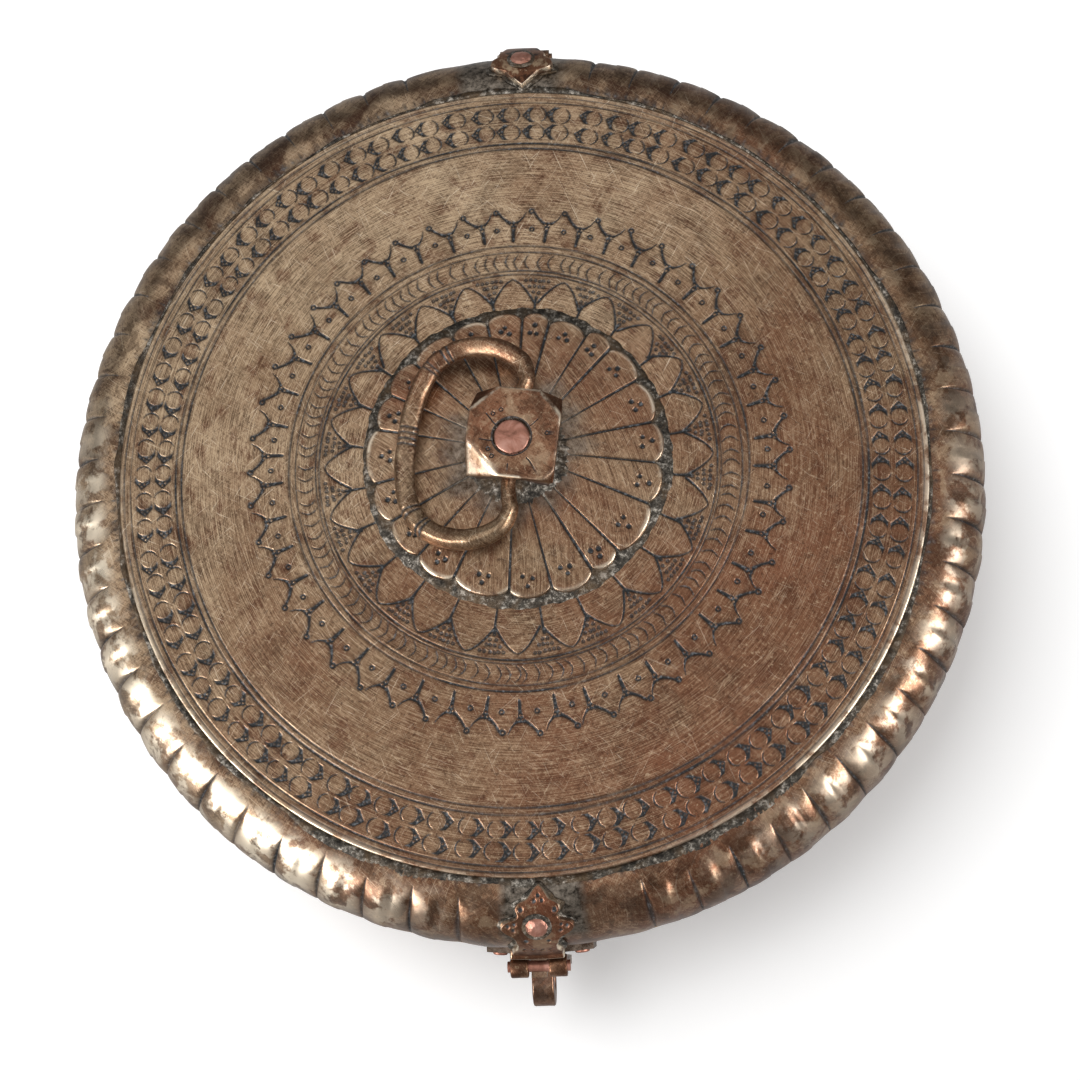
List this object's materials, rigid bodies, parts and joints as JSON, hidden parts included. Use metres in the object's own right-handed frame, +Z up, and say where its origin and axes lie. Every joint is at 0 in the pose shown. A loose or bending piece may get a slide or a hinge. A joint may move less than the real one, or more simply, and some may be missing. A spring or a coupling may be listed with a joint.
{
  "type": "spice box masala dabba",
  "caption": "Round lobed brass spice box with an engraved hinged lid, petal rosette, drop handle, front hasp and staple, and fixed compartments inside.",
  "frame": {"origin": "centre of the flat underside, on the surface the box stands on", "axes": "+Z up, +Y towards the lid hinge, the hasp faces -Y, the handle lies over the -X side"},
  "size_m": [0.25, 0.2733, 0.0862],
  "materials": {
    "brass": "aged brown brass, brushed and worn",
    "engraved_brass": "aged olive-brown brass with dark engraving",
    "worn_brass": "brass polished by handling",
    "copper": "hammered copper rivets, pinkish",
    "solder": "dull grey tin solder, lumpy"
  },
  "bodies": {
    "base": {"base_floor": "brass", "base_wall": "brass", "base_flange": "brass", "base_collar": "brass", "centre_cup": "brass", "divider_1": "brass", "divider_2": "brass", "divider_3": "brass", "divider_4": "brass", "divider_5": "brass", "divider_6": "brass", "hinge_base_leaf": "brass", "hinge_base_rivets": "copper", "hinge_pin": "brass", "staple_plate": "brass", "staple": "brass", "staple_plate_rivets": "copper"},
    "lid": {"lid_disc": "engraved_brass", "lid_shoulder": "brass", "seam_solder": "solder", "rosette": "brass", "rosette_solder": "solder", "knob": "brass", "knob_stud": "copper", "knob_washer": "brass", "hinge_lid_leaf": "brass", "hinge_lid_rivet": "copper", "hasp_plate": "brass", "hasp_plate_rivet": "copper", "hasp_pin": "copper"},
    "handle": {"bail": "worn_brass"},
    "hasp": {"hasp_strap": "brass"}
  },
  "joints": [
    {"name": "lid_hinge", "type": "hinge", "parent": "base", "child": "lid", "pos_m": [0.0028, 0.12917, 0.048], "axis": [-0.9998, 0.0216, 0], "range_deg": [0, 105]},
    {"name": "bail_swing", "type": "hinge", "parent": "lid", "child": "handle", "pos_m": [0.0005, 0.0014, 0.0793], "axis": [0.1392, 0.9903, 0], "range_deg": [0, 200]},
    {"name": "hasp_swing", "type": "hinge", "parent": "lid", "child": "hasp", "pos_m": [0.00226, -0.12958, 0.049], "axis": [-0.9998, -0.0175, 0], "range_deg": [0, 170]}
  ]
}
